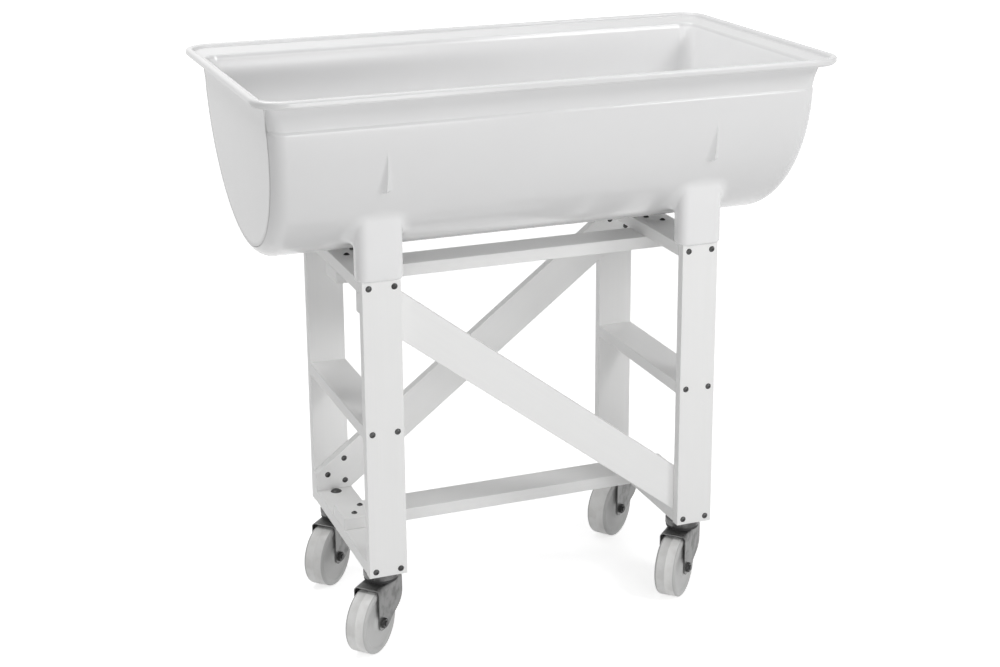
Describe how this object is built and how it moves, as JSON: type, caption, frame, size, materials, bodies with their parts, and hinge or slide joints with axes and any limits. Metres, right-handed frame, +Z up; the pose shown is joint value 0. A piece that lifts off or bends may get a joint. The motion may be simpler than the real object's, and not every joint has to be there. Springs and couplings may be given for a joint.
{
  "type": "utility sink",
  "caption": "Free-standing trough sink: a half-round white plastic basin with a raised rim on a cross-braced board stand with swivel castors",
  "frame": {"origin": "on the floor under the middle of the trough", "axes": "+X along the trough, +Y to its back, +Z up"},
  "size_m": [1.13, 0.638, 1.11],
  "materials": {
    "trough_plastic": "moulded polyethylene, soft gloss",
    "board_plastic": "planed polyethylene board, satin",
    "wheel_nylon": "turned nylon, satin",
    "castor_steel": "pressed stainless steel",
    "screw_steel": "stainless screws",
    "bolt_steel": "stainless bolts and nuts",
    "ball_steel": "polished balls",
    "seal_rubber": "black rubber"
  },
  "bodies": {
    "stand": {"trough": "trough_plastic", "leg_front_left": "board_plastic", "leg_screws_front_left": "screw_steel", "leg_front_right": "board_plastic", "leg_screws_front_right": "screw_steel", "leg_back_left": "board_plastic", "leg_screws_back_left": "screw_steel", "leg_back_right": "board_plastic", "leg_screws_back_right": "screw_steel", "bottom_rung_left": "board_plastic", "middle_rung_left": "board_plastic", "top_rung_left": "board_plastic", "bottom_rung_right": "board_plastic", "middle_rung_right": "board_plastic", "top_rung_right": "board_plastic", "brace_front": "board_plastic", "brace_screws_front": "screw_steel", "brace_back": "board_plastic", "brace_screws_back": "screw_steel", "lower_rail": "board_plastic", "lower_rail_screws": "screw_steel", "upper_rail": "board_plastic", "upper_rail_screws": "screw_steel", "castor_front_left_king_bolt": "bolt_steel", "castor_front_left_head": "castor_steel", "castor_front_left_seal": "seal_rubber", "castor_front_right_king_bolt": "bolt_steel", "castor_front_right_head": "castor_steel", "castor_front_right_seal": "seal_rubber", "castor_back_left_king_bolt": "bolt_steel", "castor_back_left_head": "castor_steel", "castor_back_left_seal": "seal_rubber", "castor_back_right_king_bolt": "bolt_steel", "castor_back_right_head": "castor_steel", "castor_back_right_seal": "seal_rubber"},
    "fork_front_left": {"castor_front_left_fork": "castor_steel", "castor_front_left_balls": "ball_steel", "castor_front_left_axle": "bolt_steel", "castor_front_left_bush": "bolt_steel"},
    "wheel_front_left": {"castor_front_left_wheel": "wheel_nylon"},
    "fork_front_right": {"castor_front_right_fork": "castor_steel", "castor_front_right_balls": "ball_steel", "castor_front_right_axle": "bolt_steel", "castor_front_right_bush": "bolt_steel"},
    "wheel_front_right": {"castor_front_right_wheel": "wheel_nylon"},
    "fork_back_left": {"castor_back_left_fork": "castor_steel", "castor_back_left_balls": "ball_steel", "castor_back_left_axle": "bolt_steel", "castor_back_left_bush": "bolt_steel"},
    "wheel_back_left": {"castor_back_left_wheel": "wheel_nylon"},
    "fork_back_right": {"castor_back_right_fork": "castor_steel", "castor_back_right_balls": "ball_steel", "castor_back_right_axle": "bolt_steel", "castor_back_right_bush": "bolt_steel"},
    "wheel_back_right": {"castor_back_right_wheel": "wheel_nylon"}
  },
  "joints": [
    {"name": "swivel_front_left", "type": "hinge", "parent": "stand", "child": "fork_front_left", "pos_m": [-0.3225, -0.1545, 0.133], "axis": [0, 0, 1], "continuous": true},
    {"name": "roll_front_left", "type": "hinge", "parent": "fork_front_left", "child": "wheel_front_left", "pos_m": [-0.35478, -0.18586, 0.0625], "axis": [0.6968, -0.7173, 0], "continuous": true},
    {"name": "swivel_front_right", "type": "hinge", "parent": "stand", "child": "fork_front_right", "pos_m": [0.3225, -0.1545, 0.133], "axis": [0, 0, 1], "continuous": true},
    {"name": "roll_front_right", "type": "hinge", "parent": "fork_front_right", "child": "wheel_front_right", "pos_m": [0.29058, -0.18622, 0.0625], "axis": [0.7049, -0.7093, 0], "continuous": true},
    {"name": "swivel_back_left", "type": "hinge", "parent": "stand", "child": "fork_back_left", "pos_m": [-0.3225, 0.1545, 0.133], "axis": [0, 0, 1], "continuous": true},
    {"name": "roll_back_left", "type": "hinge", "parent": "fork_back_left", "child": "wheel_back_left", "pos_m": [-0.35386, 0.12222, 0.0625], "axis": [0.7173, -0.6968, 0], "continuous": true},
    {"name": "swivel_back_right", "type": "hinge", "parent": "stand", "child": "fork_back_right", "pos_m": [0.3225, 0.1545, 0.133], "axis": [0, 0, 1], "continuous": true},
    {"name": "roll_back_right", "type": "hinge", "parent": "fork_back_right", "child": "wheel_back_right", "pos_m": [0.28684, 0.12705, 0.0625], "axis": [0.6099, -0.7925, 0], "continuous": true}
  ]
}
